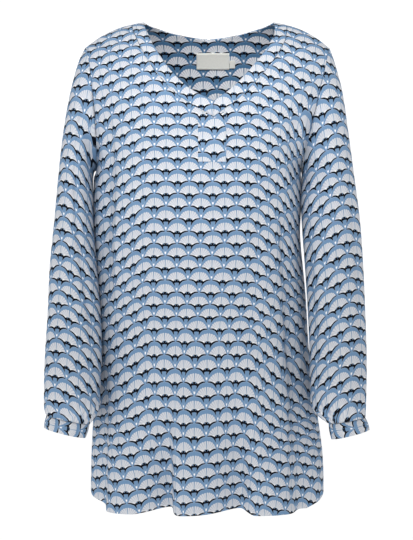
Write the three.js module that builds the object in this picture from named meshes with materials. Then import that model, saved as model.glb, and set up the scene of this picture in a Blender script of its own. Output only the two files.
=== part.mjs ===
// Long-sleeved tunic top with a V neck, worn form, hollow and open at neck, hem and cuffs.
// Millimetres, +Z up, the front faces -Y. The origin lies midway between the two neck points
// of the shoulder seams, where a wearer's shoulders carry the garment. "right" is the
// wearer's right, on the -X side. Every cloth piece is a thin wall: a sheet of points on the
// garment's form, thickened inwards, and pieces stop short of each other at their seams.
import * as THREE from "three";

const { sin, cos, abs, sqrt, hypot, exp, PI } = Math;
const RIGHT = -1;
const LEFT = 1;
const SIDES = { right: RIGHT, left: LEFT };

// ---- Driving dimensions -------------------------------------------------------------
const WALL = 1.2; // cloth wall
const TRIM_WALL = 1.0; // neck band, placket and label
const SEAM_GAP = 0.4; // between pieces at a seam
const LIE_GAP = 0.6; // between a panel and the piece that lies on it
const NECK = { x: 3.5, half: 103.5, backLow: -20 };
const SHOULDER = { right: -194, left: 196, drop: -41, ridgeY: 3 };
const UNDERARM = { z: -236, y: 18 };
// How far the armhole bows to front and back, and how far its front hollows towards the middle.
const ARMHOLE = { front: 60, back: 58, hollow: { right: 9, left: 1 } };
const ROUND = { front: 150, back: 105 }; // height over which the form rounds to full depth
const SQUARENESS = 2.3; // of the body's oval section, 2 is an ellipse
const HEM = { side: -744, front: -772, back: -780 };
const CHEST_TOP = UNDERARM.z;

// The body's oval at each height: reach to -X, +X, front and back.
const BODY = [
  { z: 0, right: 174, left: 150, front: 92, back: 84 },
  { z: -90, right: 174, left: 150, front: 107, back: 98 },
  { z: -160, right: 174, left: 150, front: 114, back: 104 },
  { z: -236, right: 177, left: 150, front: 118, back: 104 },
  { z: -340, right: 181, left: 147, front: 121, back: 101 },
  { z: -434, right: 178, left: 156, front: 123, back: 101 },
  { z: -525, right: 177, left: 165, front: 125, back: 104 },
  { z: -632, right: 182, left: 179, front: 127, back: 109 },
  { z: -700, right: 185, left: 187, front: 129, back: 113 },
  { z: -800, right: 186, left: 188, front: 131, back: 118 },
];

// Hanging folds of the body. "at" is the place round the body in degrees (0 centre front,
// 90 the left side, 180 centre back), "before" and "after" are its half-widths in degrees on
// the two sides of the valley, "deep" is its depth and "lean" how far the valley slides
// sideways for its depth. The fold grows from "from" down to "full", and fades out again
// below "full" down to "end" where it has one.
const FOLDS = [
  { at: -26, before: 5, after: 5, deep: 34, lean: 0, from: -520, full: -790 },
  { at: 17, before: 10, after: 4, deep: 30, lean: 0.5, from: -500, full: -790 },
  { at: -44, before: 8, after: 8, deep: -6, lean: 0, from: -560, full: -770 },
  { at: 33, before: 8, after: 9, deep: -7, lean: 0, from: -520, full: -770 },
  { at: 56, before: 6, after: 8, deep: 12, lean: 0, from: -280, full: -620 },
  { at: -66, before: 6, after: 5, deep: 10, lean: 0, from: -520, full: -740 },
  { at: -62, before: 5, after: 5, deep: 8, lean: 0, from: -150, full: -300, end: -480 },
  { at: 163, before: 9, after: 9, deep: 20, lean: 0.6, from: -430, full: -770 },
  { at: -158, before: 10, after: 10, deep: 24, lean: -0.7, from: -400, full: -770 },
  { at: -122, before: 8, after: 8, deep: 14, lean: 0.4, from: -480, full: -770 },
  { at: 124, before: 8, after: 8, deep: 15, lean: -0.4, from: -460, full: -770 },
];
const FOLD_LIFT = 0.3; // how far the cloth rises for each millimetre that a fold takes it in

// Sleeve rings from armhole to cuff: the outer and inner point of each ring, the y of its
// middle and its half-depth. The first ring is the armhole, and the last one the gathered end.
const SLEEVES = {
  right: [
    { ox: -204, oz: -60, ix: -179.8, iz: -238.5, y: 9, deep: 61 },
    { ox: -217, oz: -109, ix: -180, iz: -245, y: 3, deep: 59 },
    { ox: -228, oz: -173, ix: -180, iz: -258, y: -4, deep: 56 },
    { ox: -235, oz: -240, ix: -180, iz: -280, y: -14, deep: 53 },
    { ox: -241, oz: -317, ix: -178.6, iz: -330, y: -26, deep: 51 },
    { ox: -247, oz: -390, ix: -172.5, iz: -395, y: -40, deep: 50 },
    { ox: -249, oz: -460, ix: -166, iz: -462, y: -52, deep: 49 },
    { ox: -252, oz: -522, ix: -163.4, iz: -524, y: -64, deep: 49 },
    { ox: -253, oz: -576, ix: -165, iz: -578, y: -74, deep: 49 },
    { ox: -252, oz: -604, ix: -167, iz: -610, y: -78, deep: 46 },
    { ox: -250, oz: -616, ix: -175, iz: -626, y: -79, deep: 39 },
    { ox: -248, oz: -621, ix: -182, iz: -635, y: -79, deep: 33 },
  ],
  left: [
    { ox: 205, oz: -62, ix: 152.2, iz: -239, y: 9, deep: 61 },
    { ox: 217, oz: -109, ix: 152.4, iz: -246, y: 3, deep: 59 },
    { ox: 226, oz: -173, ix: 152.2, iz: -258, y: -4, deep: 56 },
    { ox: 234, oz: -240, ix: 150, iz: -280, y: -15, deep: 53 },
    { ox: 243, oz: -317, ix: 151.4, iz: -330, y: -26, deep: 51 },
    { ox: 247, oz: -390, ix: 155.5, iz: -395, y: -40, deep: 50 },
    { ox: 249, oz: -460, ix: 159, iz: -462, y: -52, deep: 49 },
    { ox: 250, oz: -522, ix: 161, iz: -524, y: -64, deep: 49 },
    { ox: 249, oz: -576, ix: 161.5, iz: -578, y: -74, deep: 49 },
    { ox: 247, oz: -604, ix: 165, iz: -610, y: -78, deep: 46 },
    { ox: 246, oz: -616, ix: 176, iz: -624, y: -79, deep: 39 },
    { ox: 246, oz: -624, ix: 190, iz: -634, y: -79, deep: 31 },
  ],
};
const CUFFS = {
  right: [
    { ox: -248, oz: -621, ix: -182, iz: -635, y: -79, deep: 31 },
    { ox: -252, oz: -640, ix: -188, iz: -656, y: -80, deep: 31 },
  ],
  left: [
    { ox: 246, oz: -624, ix: 190, iz: -634, y: -79, deep: 29 },
    { ox: 253, oz: -643, ix: 194, iz: -658, y: -80, deep: 30 },
  ],
};

// The neck band's inner edge from the neck point to the V point, for each side.
const NECK_EDGE = {
  right: [
    { x: -100, z: 0 },
    { x: -99.3, z: -3.5 },
    { x: -97, z: -12 },
    { x: -91, z: -26 },
    { x: -84, z: -42 },
    { x: -74, z: -60 },
    { x: -60, z: -81 },
    { x: -41, z: -103 },
    { x: -20, z: -120 },
    { x: 11, z: -136 },
  ],
  left: [
    { x: 107, z: 0 },
    { x: 107.5, z: -3.5 },
    { x: 108, z: -12 },
    { x: 106, z: -26 },
    { x: 97, z: -44 },
    { x: 87, z: -60 },
    { x: 72, z: -79 },
    { x: 55, z: -99 },
    { x: 37, z: -117 },
    { x: 11, z: -136 },
  ],
};
const NECK_BAND = { width: 20, mitre: 25 };
const PLACKET = { right: -13, left: 30, bottom: -239, top: -164, slope: 0.62 };
const LABEL = { x: 10.5, width: 54, top: -41, height: 25 };
const SIZE_TAB = { width: 9.5, top: -52, height: 12 };

// Rows and columns of the faceted sheets. "neck" is the number of spans beside the front
// neckline, "nape" beside the back one.
const GRID = { half: 14, lower: 13, chest: 4, neck: 9, nape: 4, shoulders: 9, round: 20, rings: 14 };

// ---- Small helpers --------------------------------------------------------------------
const point = (x, y, z) => new THREE.Vector3(x, y, z);
const mix = (a, b, t) => a + (b - a) * t;
const clamp = (t) => Math.min(1, Math.max(0, t));
const ease = (a, b, x) => {
  const t = clamp((x - a) / (b - a));
  return t * t * (3 - 2 * t);
};

// A smooth curve through one column of a table whose rows are sorted by falling "by".
function column(table, by, name) {
  const slope = (i) => {
    const [a, b] = [table[Math.max(0, i - 1)], table[Math.min(table.length - 1, i + 1)]];
    return (b[name] - a[name]) / (b[by] - a[by]);
  };
  return (at) => {
    let i = 0;
    while (i < table.length - 2 && at < table[i + 1][by]) i += 1;
    const [a, b] = [table[i], table[i + 1]];
    const span = b[by] - a[by];
    const t = clamp((at - a[by]) / span);
    const rise = t * t * (3 - 2 * t);
    const bend = t * (1 - t) * ((1 - t) * slope(i) - t * slope(i + 1)) * span;
    return mix(a[name], b[name], rise) + bend;
  };
}

// ---- The garment's form ---------------------------------------------------------------
const reach = Object.fromEntries(
  ["right", "left", "front", "back"].map((name) => [name, column(BODY, "z", name)]),
);
const sideName = (side) => (side === RIGHT ? "right" : "left");
const oval = (share) => (1 - clamp(share) ** SQUARENESS) ** (1 / SQUARENESS);

// y of the line where front and back meet: shoulder ridge, armhole ends and side seams.
const seamY = (z) => mix(SHOULDER.ridgeY, UNDERARM.y, ease(SHOULDER.drop, UNDERARM.z, z));

// Height of the shoulder seam above a place x.
function shoulderZ(x) {
  const side = x < NECK.x ? RIGHT : LEFT;
  const start = NECK.x + side * NECK.half;
  const q = clamp((x - start) / (SHOULDER[sideName(side)] - start));
  return SHOULDER.drop * (0.35 * q + 0.65 * q ** 2.5);
}

// A point of the armhole, from the shoulder tip (turn 0) to the underarm (turn PI).
function armhole(side, face, turn) {
  const tipX = SHOULDER[sideName(side)];
  const underX = side * reach[sideName(side)](UNDERARM.z);
  const z = mix(UNDERARM.z, SHOULDER.drop, (1 + cos(turn)) / 2);
  const bow = sin(turn) * (face === "front" ? -ARMHOLE.front : ARMHOLE.back);
  const hollow = face === "front" ? side * ARMHOLE.hollow[sideName(side)] * sin(turn) : 0;
  return point(mix(underX, tipX, (1 + cos(turn)) / 2) - hollow, seamY(z) + bow, z);
}

// Depth of the form at its middle, and how much of it is reached this far below the shoulder.
function fullDepth(face, z) {
  return face === "front" ? reach.front(z) + seamY(z) : reach.back(z) - seamY(z);
}
function rounding(face, x, z) {
  const t = clamp((shoulderZ(x) - z) / ROUND[face]);
  return sqrt(1 - (1 - t) ** 2);
}

// Half-width of the oval at a height. Above the underarm it is the one whose curve passes
// through the armhole.
function halfWidth(side, face, z) {
  if (z <= UNDERARM.z) return reach[sideName(side)](z);
  const low = 0.06;
  const t = (z - UNDERARM.z) / (SHOULDER.drop - UNDERARM.z);
  const turn = Math.max(low, Math.acos(clamp(t) * 2 - 1));
  const edge = armhole(side, face, turn);
  const depth = fullDepth(face, edge.z) * rounding(face, edge.x, edge.z);
  const share = clamp(abs(edge.y - seamY(edge.z)) / depth);
  return abs(edge.x) / (1 - share ** SQUARENESS) ** (1 / SQUARENESS);
}

// The form's surface, before folds.
function formPoint(side, face, x, z) {
  const across = oval(abs(x) / halfWidth(side, face, z));
  const depth = fullDepth(face, z) * rounding(face, x, z) * across;
  return point(x, seamY(z) + (face === "front" ? -depth : depth), z);
}

// Moves a point of the body in by the folds that pass it.
function folded(p, turnDegrees) {
  const out = point(p.x / 170, (p.y - UNDERARM.y) / 125, 0).normalize();
  const along = point(-out.y, out.x, 0);
  let inwards = 0;
  let sideways = 0;
  for (const f of FOLDS) {
    const from = ((turnDegrees - f.at + 540) % 360) - 180;
    const off = from / (from < 0 ? f.before : f.after);
    const grown = ease(f.from, f.full, p.z) * (f.end ? 1 - ease(f.full, f.end, p.z) : 1);
    const depth = f.deep * grown * exp((-off * off) / 2);
    inwards += depth;
    sideways += depth * f.lean;
  }
  p.z += FOLD_LIFT * Math.max(0, inwards);
  return p.addScaledVector(out, -inwards).addScaledVector(along, sideways);
}

// Outward direction of the form, from its slope.
function formNormal(side, face, x, z) {
  const low = Math.min(z, shoulderZ(x)) - 0.4;
  const across = formPoint(side, face, x + 1, low).sub(formPoint(side, face, x - 1, low));
  const up = formPoint(side, face, x, low).sub(formPoint(side, face, x, low - 2));
  const out = across.cross(up).normalize();
  return (face === "front") === out.y < 0 ? out : out.negate();
}

// The band's inner edge, and its outer edge where the front panel begins, at one station.
function bandEdges(side, k) {
  const edge = NECK_EDGE[sideName(side)];
  const p = edge[k];
  const [q, r] = [edge[Math.max(0, k - 1)], edge[Math.min(edge.length - 1, k + 1)]];
  const away = point(side * abs(r.z - q.z), 0, -abs(r.x - q.x)).normalize();
  if (k === edge.length - 1) {
    return { in: p, out: { x: p.x, z: p.z - NECK_BAND.mitre }, away: point(0, 0, -1) };
  }
  const x = p.x + away.x * NECK_BAND.width;
  const z = k === 0 ? shoulderZ(x) : Math.min(p.z + away.z * NECK_BAND.width, shoulderZ(x) - k * 2.6);
  return { in: p, out: { x, z }, away };
}

// The inner end of each row of a half panel: up the middle, then round the neckline to the
// shoulder, with the turn of the armhole that the row ends at.
function innerEnds(side, face) {
  const ends = [];
  const neckX = NECK.x + side * NECK.half;
  const round = face === "front" ? GRID.neck : GRID.nape;
  const chest = GRID.chest + (face === "front" ? 0 : GRID.neck - GRID.nape);
  const low =
    face === "front" ? bandEdges(side, GRID.neck).out : { x: NECK.x, z: NECK.backLow };
  const lowTurn = (face === "front" ? 0.57 : 0.34) * PI;
  for (let j = 1; j <= chest; j += 1) {
    const t = j / chest;
    const z = mix(UNDERARM.z, low.z, face === "front" ? t : t ** 0.9);
    ends.push({ x: mix(0, low.x, t), z, turn: mix(PI, lowTurn, t), fade: 0 });
  }
  for (let j = 1; j <= round; j += 1) {
    const t = j / round;
    const at =
      face === "front"
        ? bandEdges(side, GRID.neck - j).out
        : { x: mix(NECK.x, neckX, t), z: NECK.backLow * (1 - t ** 1.6) };
    ends.push({ ...at, turn: mix(lowTurn, 0, t), fade: t });
  }
  return ends;
}

// Hem height round the body.
function hemZ(face, share) {
  return mix(HEM[face], HEM.side, clamp((share - 0.54) / 0.46) ** 1.15);
}

// ---- Sheets and their solids ------------------------------------------------------------
// A sheet collects grids of outer points, shared where they meet, each with an optional
// outward direction, and turns into a closed wall.
class Sheet {
  constructor() {
    this.points = [];
    this.outs = [];
    this.faces = [];
    this.index = new Map();
  }
  vertex(p, out) {
    const key = [p.x, p.y, p.z].map((c) => c.toFixed(3)).join();
    if (!this.index.has(key)) {
      this.index.set(key, this.points.length);
      this.points.push(p);
      this.outs.push(out);
    }
    return this.index.get(key);
  }
  addGrid(rows, outs, flip) {
    const ids = rows.map((row, j) => row.map((p, i) => this.vertex(p, outs?.[j]?.[i])));
    for (let j = 0; j + 1 < ids.length; j += 1) {
      for (let i = 0; i + 1 < ids[j].length; i += 1) {
        const [a, b, c, d] = [ids[j][i], ids[j][i + 1], ids[j + 1][i + 1], ids[j + 1][i]];
        for (const tri of [[a, b, c], [a, c, d]]) {
          if (new Set(tri).size === 3) this.faces.push(flip ? tri.reverse() : tri);
        }
      }
    }
    return this;
  }
  normals() {
    const sums = this.points.map(() => point(0, 0, 0));
    for (const [a, b, c] of this.faces) {
      const ab = this.points[b].clone().sub(this.points[a]);
      const area = ab.cross(this.points[c].clone().sub(this.points[a]));
      for (const v of [a, b, c]) sums[v].add(area);
    }
    return sums.map((sum, v) => (this.outs[v] ?? sum).clone().normalize());
  }
  // The point above (x, z) on the faceted sheet, moved out by "level".
  at(x, z, level) {
    const out = this.normals();
    const ends = this.points.map((p, v) => p.clone().addScaledVector(out[v], level));
    for (const [a, b, c] of this.faces) {
      const [p, q, r] = [ends[a], ends[b], ends[c]];
      const area = (q.x - p.x) * (r.z - p.z) - (r.x - p.x) * (q.z - p.z);
      const v = ((x - p.x) * (r.z - p.z) - (r.x - p.x) * (z - p.z)) / area;
      const w = ((q.x - p.x) * (z - p.z) - (x - p.x) * (q.z - p.z)) / area;
      if (v >= -1e-6 && w >= -1e-6 && v + w <= 1 + 1e-6) {
        return point(x, p.y + (q.y - p.y) * v + (r.y - p.y) * w, z);
      }
    }
    throw new Error(`nothing of the sheet at ${x}, ${z}`);
  }
  // Outer face at "lift" above the points, inner face "wall" below that.
  solid(wall, lift = 0) {
    const out = this.normals();
    const count = this.points.length;
    const level = (h) => this.points.map((p, v) => p.clone().addScaledVector(out[v], h));
    const vertices = [...level(lift), ...level(lift - wall)];
    const triangles = this.faces.flatMap(([a, b, c]) => [a, b, c, c + count, b + count, a + count]);
    const open = new Map();
    for (const tri of this.faces) {
      tri.forEach((a, k) => {
        const b = tri[(k + 1) % 3];
        if (open.has(`${b},${a}`)) open.delete(`${b},${a}`);
        else open.set(`${a},${b}`, [a, b]);
      });
    }
    for (const [a, b] of open.values()) {
      triangles.push(b, a, a + count, b, a + count, b + count);
    }
    const geometry = new THREE.BufferGeometry();
    geometry.setAttribute(
      "position",
      new THREE.Float32BufferAttribute(vertices.flatMap((v) => v.toArray()), 3),
    );
    geometry.setIndex(triangles);
    geometry.computeVertexNormals();
    return geometry;
  }
}

// ---- Front and back panels ----------------------------------------------------------------
// One half of a panel: columns from the side seam or armhole (0) to the middle or neckline,
// rows from hem to shoulder seam. Edge points get outward directions that keep the walls of
// neighbouring pieces side by side.
function halfPanel(side, face) {
  const rows = [];
  const outs = [];
  const ends = innerEnds(side, face);
  const neckFrom = ends.length - (face === "front" ? GRID.neck : GRID.nape) - 1;
  const degrees = (share) => (face === "front" ? side * share * 90 : side * (180 - share * 90));
  for (let j = 0; j <= GRID.lower + ends.length; j += 1) {
    const upper = j > GRID.lower;
    const end = upper ? ends[j - GRID.lower - 1] : { x: 0, z: 0, turn: PI };
    const arm = upper ? armhole(side, face, end.turn) : null;
    rows.push([]);
    outs.push([]);
    for (let i = 0; i <= GRID.half; i += 1) {
      const share = 1 - i / GRID.half;
      const across = sin((share * PI) / 2);
      let p;
      if (upper) {
        const x = mix(end.x, arm.x, across);
        const seamLine = mix(shoulderZ(end.x), shoulderZ(arm.x), across);
        const z = mix(end.z, arm.z, across) + (shoulderZ(x) - seamLine) * end.fade;
        p = i === 0 ? arm.clone() : formPoint(side, face, x, z);
      } else {
        const z = mix(hemZ(face, share), UNDERARM.z, j / GRID.lower);
        p = formPoint(side, face, side * across * reach[sideName(side)](z), z);
      }
      rows[j].push(folded(p, degrees(share)));
      let out;
      if (j === GRID.lower + ends.length) out = point(side * 0.3, 0, 1);
      else if (i === 0 && upper) out = armholeOut(side, face, end.turn);
      else if (i === 0) out = point(side, 0, 0);
      else if (i === GRID.half && j - GRID.lower - 1 >= neckFrom) {
        out = formNormal(side, face, end.x, end.z);
      }
      outs[j].push(out);
    }
  }
  evenOut(rows);
  return closeSeams(rows, side, face, outs);
}
// Outward direction of the armhole's rim, in the armhole's own plane.
function armholeOut(side, face, turn) {
  const lean = SHOULDER[sideName(side)] - side * reach[sideName(side)](UNDERARM.z);
  const up = point(lean, 0, SHOULDER.drop - UNDERARM.z).normalize();
  return up.multiplyScalar(cos(turn)).add(point(0, (face === "front" ? -1 : 1) * sin(turn), 0));
}
// Evens out the cloth round the underarm, where the body's section changes.
function evenOut(rows) {
  const [first, last] = [GRID.lower - 4, GRID.lower + 5];
  for (let pass = 0; pass < 4; pass += 1) {
    for (let j = first; j <= last; j += 1) {
      for (let i = 1; i < GRID.half; i += 1) {
        const mean = rows[j - 1][i].clone().add(rows[j + 1][i]).multiplyScalar(0.5);
        rows[j][i].lerp(mean, 0.5);
      }
    }
  }
}
// Draws the panel's edges back from the seams by half the gap.
function closeSeams(rows, side, face, outs) {
  const back = face === "front" ? -1 : 1;
  const last = rows.length - 1;
  rows.forEach((row, j) => {
    row.forEach((p, i) => {
      if (i === 0 && j <= GRID.lower) p.y += (back * SEAM_GAP) / 2;
      else if (i === 0) p.x -= (side * SEAM_GAP) / 2;
      if (j === last) p.y += (back * SEAM_GAP) / 2;
    });
  });
  return { rows, outs };
}
function panel(face) {
  const sheet = new Sheet();
  for (const side of [RIGHT, LEFT]) {
    const { rows, outs } = halfPanel(side, face);
    sheet.addGrid(rows, outs, (side === LEFT) === (face === "front"));
  }
  return sheet;
}

// ---- Sleeves and cuffs ----------------------------------------------------------------------
// The points of one ring. A ring lies in the plane of its outer-inner line and the y axis.
function ring(row, count) {
  const middle = point((row.ox + row.ix) / 2, row.y, (row.oz + row.iz) / 2);
  const half = point((row.ox - row.ix) / 2, 0, (row.oz - row.iz) / 2);
  return Array.from({ length: count + 1 }, (_, k) => {
    const turn = (2 * PI * (k % count)) / count;
    return middle.clone().addScaledVector(half, cos(turn)).add(point(0, -row.deep * sin(turn), 0));
  });
}
function ringRow(table, t) {
  const keyed = table.map((row, k) => ({ ...row, k: -k }));
  const at = -t * (table.length - 1);
  const names = ["ox", "oz", "ix", "iz", "y", "deep"];
  return Object.fromEntries(names.map((name) => [name, column(keyed, "k", name)(at)]));
}
function sleeve(side) {
  const table = SLEEVES[sideName(side)];
  const count = GRID.round;
  const turnOf = (k) => (2 * PI * (k % count)) / count;
  const first = Array.from({ length: count + 1 }, (_, k) => {
    const face = turnOf(k) <= PI ? "front" : "back";
    const p = armhole(side, face, face === "front" ? turnOf(k) : 2 * PI - turnOf(k));
    p.x += side * SEAM_GAP * 1.6;
    return p;
  });
  const firstOuts = first.map((_, k) =>
    turnOf(k) <= PI ? armholeOut(side, "front", turnOf(k)) : armholeOut(side, "back", 2 * PI - turnOf(k)),
  );
  const rows = [first];
  for (let j = 0; j <= GRID.rings; j += 1) rows.push(ring(ringRow(table, j / GRID.rings), count));
  return new Sheet().addGrid(rows, [firstOuts], side === RIGHT).solid(WALL);
}
function cuff(side) {
  const table = CUFFS[sideName(side)];
  const gap = SEAM_GAP + 0.2;
  const rows = [0, 0.5, 1].map((t) => {
    const row = ringRow(table, t);
    return ring({ ...row, oz: row.oz - gap, iz: row.iz - gap }, GRID.round);
  });
  return new Sheet().addGrid(rows, undefined, side === RIGHT).solid(WALL);
}

// ---- Neck bands, placket and labels ------------------------------------------------------------
// A front neck band fills the strip between the front panel's neckline and the neck opening,
// from the shoulder seam to the V, where the two bands meet.
function neckBand(side) {
  const rows = [];
  const outs = [];
  for (let k = GRID.neck; k >= 0; k -= 1) {
    const edge = bandEdges(side, k);
    rows.push([]);
    outs.push([]);
    for (const t of [0, 0.5, 1]) {
      const gap = 1.6 * SEAM_GAP * t;
      let x = mix(edge.in.x, edge.out.x, t) - edge.away.x * gap;
      const z = mix(edge.in.z, edge.out.z, t) - edge.away.z * gap;
      if (k === GRID.neck) x += (side * SEAM_GAP) / 2;
      const p = formPoint(side, "front", x, Math.min(z, shoulderZ(x)));
      if (k === 0) p.y = seamY(p.z) - SEAM_GAP / 2;
      rows.at(-1).push(p);
      outs.at(-1).push(k === 0 ? point(side * 0.3, 0, 1) : formNormal(side, "front", x, z));
    }
  }
  return new Sheet().addGrid(rows, outs, side === RIGHT).solid(WALL);
}
// The placket lies on the front over its slit, from under the bands down to its squared end.
function placket(front) {
  const rows = [];
  const middle = NECK_EDGE.left.at(-1).x;
  for (let j = 0; j <= 8; j += 1) {
    rows.push([]);
    for (let i = 0; i <= 4; i += 1) {
      const x = mix(PLACKET.right, PLACKET.left, i / 4);
      const top = PLACKET.top + abs(x - middle) * PLACKET.slope;
      const z = mix(PLACKET.bottom, top, j / 8);
      rows[j].push(front.at(x, z, 0));
    }
  }
  return new Sheet().addGrid(rows, undefined, false).solid(TRIM_WALL, LIE_GAP + TRIM_WALL);
}
// Labels hang inside the back of the neck.
function insideBack(back, left, right, top, height) {
  const rows = [0, 0.5, 1].map((v) =>
    [0, 0.25, 0.5, 0.75, 1].map((u) => back.at(mix(left, right, u), top - height * (1 - v), -WALL)),
  );
  return new Sheet().addGrid(rows, undefined, true).solid(TRIM_WALL, -2 * LIE_GAP);
}

// ---- Assembly -----------------------------------------------------------------------------------
const print = (name) => new THREE.MeshStandardMaterial({ name, color: 0x9fb4d0, roughness: 0.8 });
const printedCloth = print("printed_cloth");
const bandCloth = print("band_cloth");
const labelTape = new THREE.MeshStandardMaterial({ name: "label_tape", color: 0xdedcd2, roughness: 0.7 });

const garment = new THREE.Group();
garment.name = "tunic_top";
function add(name, geometry, material) {
  const mesh = new THREE.Mesh(geometry, material);
  mesh.name = name;
  garment.add(mesh);
}
const front = panel("front");
const back = panel("back");
add("front_panel", front.solid(WALL), printedCloth);
add("back_panel", back.solid(WALL), printedCloth);
for (const [name, side] of Object.entries(SIDES)) {
  add(`${name}_sleeve`, sleeve(side), printedCloth);
  add(`${name}_cuff`, cuff(side), bandCloth);
  add(`${name}_neck_band`, neckBand(side), bandCloth);
}
add("placket", placket(front), bandCloth);
const labelLeft = LABEL.x - LABEL.width / 2;
const labelRight = LABEL.x + LABEL.width / 2;
add("neck_label", insideBack(back, labelLeft, labelRight, LABEL.top, LABEL.height), labelTape);
add(
  "size_tab",
  insideBack(back, labelRight + SEAM_GAP, labelRight + SIZE_TAB.width, SIZE_TAB.top, SIZE_TAB.height),
  labelTape,
);

export default garment;
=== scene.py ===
# A long-sleeved tunic top in thin printed crepe, filled out as if worn and hanging from its
# shoulder seams. Sizes are in millimetres, and each mesh is written in metres. The front
# faces -Y, and "right" is the wearer's right, on the -X side.
import math

import bmesh
import bpy
import numpy as np
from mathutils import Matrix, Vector


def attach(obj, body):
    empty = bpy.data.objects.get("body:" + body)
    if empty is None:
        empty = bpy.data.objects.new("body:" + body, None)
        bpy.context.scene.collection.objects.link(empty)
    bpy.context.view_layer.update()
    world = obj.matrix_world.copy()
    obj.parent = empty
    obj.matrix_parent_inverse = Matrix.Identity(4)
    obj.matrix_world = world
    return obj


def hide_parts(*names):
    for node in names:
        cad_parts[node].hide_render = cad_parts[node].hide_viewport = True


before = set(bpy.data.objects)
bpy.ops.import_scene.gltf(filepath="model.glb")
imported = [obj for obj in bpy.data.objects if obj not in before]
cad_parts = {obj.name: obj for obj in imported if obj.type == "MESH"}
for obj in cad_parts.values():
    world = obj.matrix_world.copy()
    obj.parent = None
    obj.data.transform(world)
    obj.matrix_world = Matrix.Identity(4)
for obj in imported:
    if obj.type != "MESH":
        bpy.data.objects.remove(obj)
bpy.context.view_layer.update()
scene = bpy.context.scene
scene.view_settings.view_transform = "Standard"

# ---- Studio: a pale floor under the hanging garment, soft light from all round, broad lamps in
# front and to one side, and a narrow one on the neck. The camera is level with its middle.
VIEW = {"distance": 2.75, "height": -0.396, "tall": 0.864}
FLOOR_Z = -1.42
camera_data = bpy.data.cameras.new("camera")
camera_data.sensor_fit = "VERTICAL"
camera_data.angle = 2 * math.atan(VIEW["tall"] / 2 / VIEW["distance"])
camera = bpy.data.objects.new("camera", camera_data)
camera.location = (0, -VIEW["distance"], VIEW["height"])
camera.rotation_euler = (math.pi / 2, 0, 0)
scene.collection.objects.link(camera)
scene.camera = camera

# The light from all round is dimmer than the white that shows behind the garment.
SKY = {"light": 0.66, "seen": 1.1}
world = bpy.data.worlds.new("studio")
world.use_nodes = True
sky = world.node_tree
sky_light = sky.nodes["Background"]
sky_seen = sky.nodes.new("ShaderNodeBackground")
for shade, strength in ((sky_light, SKY["light"]), (sky_seen, SKY["seen"])):
    shade.inputs["Color"].default_value = (1, 1, 1, 1)
    shade.inputs["Strength"].default_value = strength
sky_path = sky.nodes.new("ShaderNodeLightPath")
sky_mix = sky.nodes.new("ShaderNodeMixShader")
sky.links.new(sky_path.outputs["Is Camera Ray"], sky_mix.inputs[0])
sky.links.new(sky_light.outputs[0], sky_mix.inputs[1])
sky.links.new(sky_seen.outputs[0], sky_mix.inputs[2])
sky.links.new(sky_mix.outputs[0], sky.nodes["World Output"].inputs["Surface"])
scene.world = world


def soft_lamp(name, size, watts, at, towards, spread=180):
    """A round soft lamp that faces a point."""
    data = bpy.data.lights.new(name, "AREA")
    data.shape = "DISK"
    data.size = size
    data.energy = watts
    data.spread = math.radians(spread)
    lamp = bpy.data.objects.new(name, data)
    lamp.location = at
    lamp.rotation_euler = (Vector(towards) - Vector(at)).to_track_quat("-Z", "Y").to_euler()
    scene.collection.objects.link(lamp)


soft_lamp("front_lamp", 1.6, 13.5, (-0.8, -3.0, -0.6), (0, 0, -0.5))
soft_lamp("side_lamp", 1.2, 4, (-2.2, -1.6, -0.3), (-0.2, 0, -0.4))
soft_lamp("neck_lamp", 0.4, 0.6, (0.1, -1.6, 0.6), (0, 0.1, -0.06), spread=30)

floor_bm = bmesh.new()
bmesh.ops.create_grid(floor_bm, x_segments=1, y_segments=1, size=9)
bmesh.ops.translate(floor_bm, verts=floor_bm.verts, vec=(0, 0, FLOOR_Z))
floor_mesh = bpy.data.meshes.new("floor")
floor_bm.to_mesh(floor_mesh)
floor = bpy.data.objects.new("floor", floor_mesh)
scene.collection.objects.link(floor)
floor_paint = bpy.data.materials.new("pale_floor")
floor_paint.use_nodes = True
floor_shader = floor_paint.node_tree.nodes["Principled BSDF"]
floor_shader.inputs["Base Color"].default_value = (0.95, 0.95, 0.95, 1)
floor_shader.inputs["Roughness"].default_value = 0.9
floor_shader.inputs["Emission Color"].default_value = (1, 1, 1, 1)
floor_shader.inputs["Emission Strength"].default_value = 0.4
floor_mesh.materials.append(floor_paint)

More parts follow.
